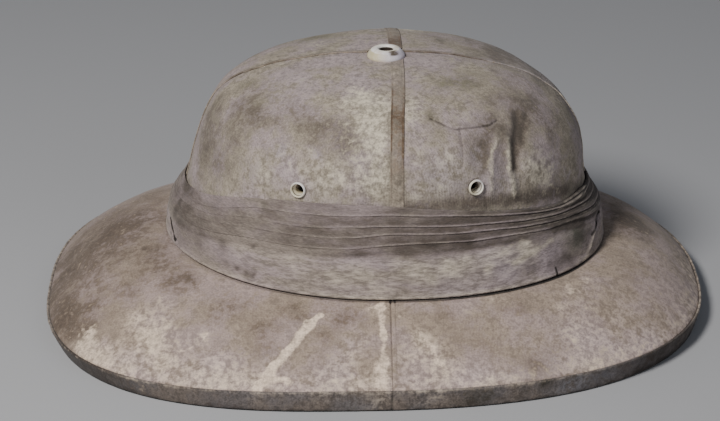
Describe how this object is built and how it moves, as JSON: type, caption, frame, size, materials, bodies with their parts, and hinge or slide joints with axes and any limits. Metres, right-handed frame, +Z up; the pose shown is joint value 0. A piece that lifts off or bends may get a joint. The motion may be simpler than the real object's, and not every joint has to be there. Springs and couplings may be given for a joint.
{
  "type": "pith helmet",
  "caption": "Cloth-covered pith sun helmet with a thick drooping brim, bound rim, wound cloth band, seam strips, a top ventilator collar and air eyelets.",
  "frame": {"origin": "on the floor, at the middle of the helmet's length and width", "axes": "+X to the wearer's front, +Y to the wearer's left, +Z up through the crown"},
  "size_m": [0.3558, 0.2864, 0.1449],
  "materials": {
    "crown_cloth": "worn, mottled warm grey cotton",
    "brim_cloth": "worn, mottled warm grey cotton",
    "edge_band_cloth": "dark grey-olive cotton binding, stained",
    "pagri_cloth": "grey wound cotton, dusty in the folds",
    "seam_cloth": "olive-brown discoloured cotton strip",
    "painted_metal": "off-white paint, satin, slightly worn"
  },
  "bodies": {
    "root": {"crown": "crown_cloth", "brim": "brim_cloth", "edge_band": "edge_band_cloth", "pagri": "pagri_cloth", "side_seam_right": "seam_cloth", "side_seam_left": "seam_cloth", "ridge_seam_front": "crown_cloth", "ridge_seam_rear": "crown_cloth", "vent_collar": "painted_metal", "eyelet_right_front": "painted_metal", "eyelet_right_rear": "painted_metal", "eyelet_left_front": "painted_metal", "eyelet_left_rear": "painted_metal"}
  },
  "joints": []
}
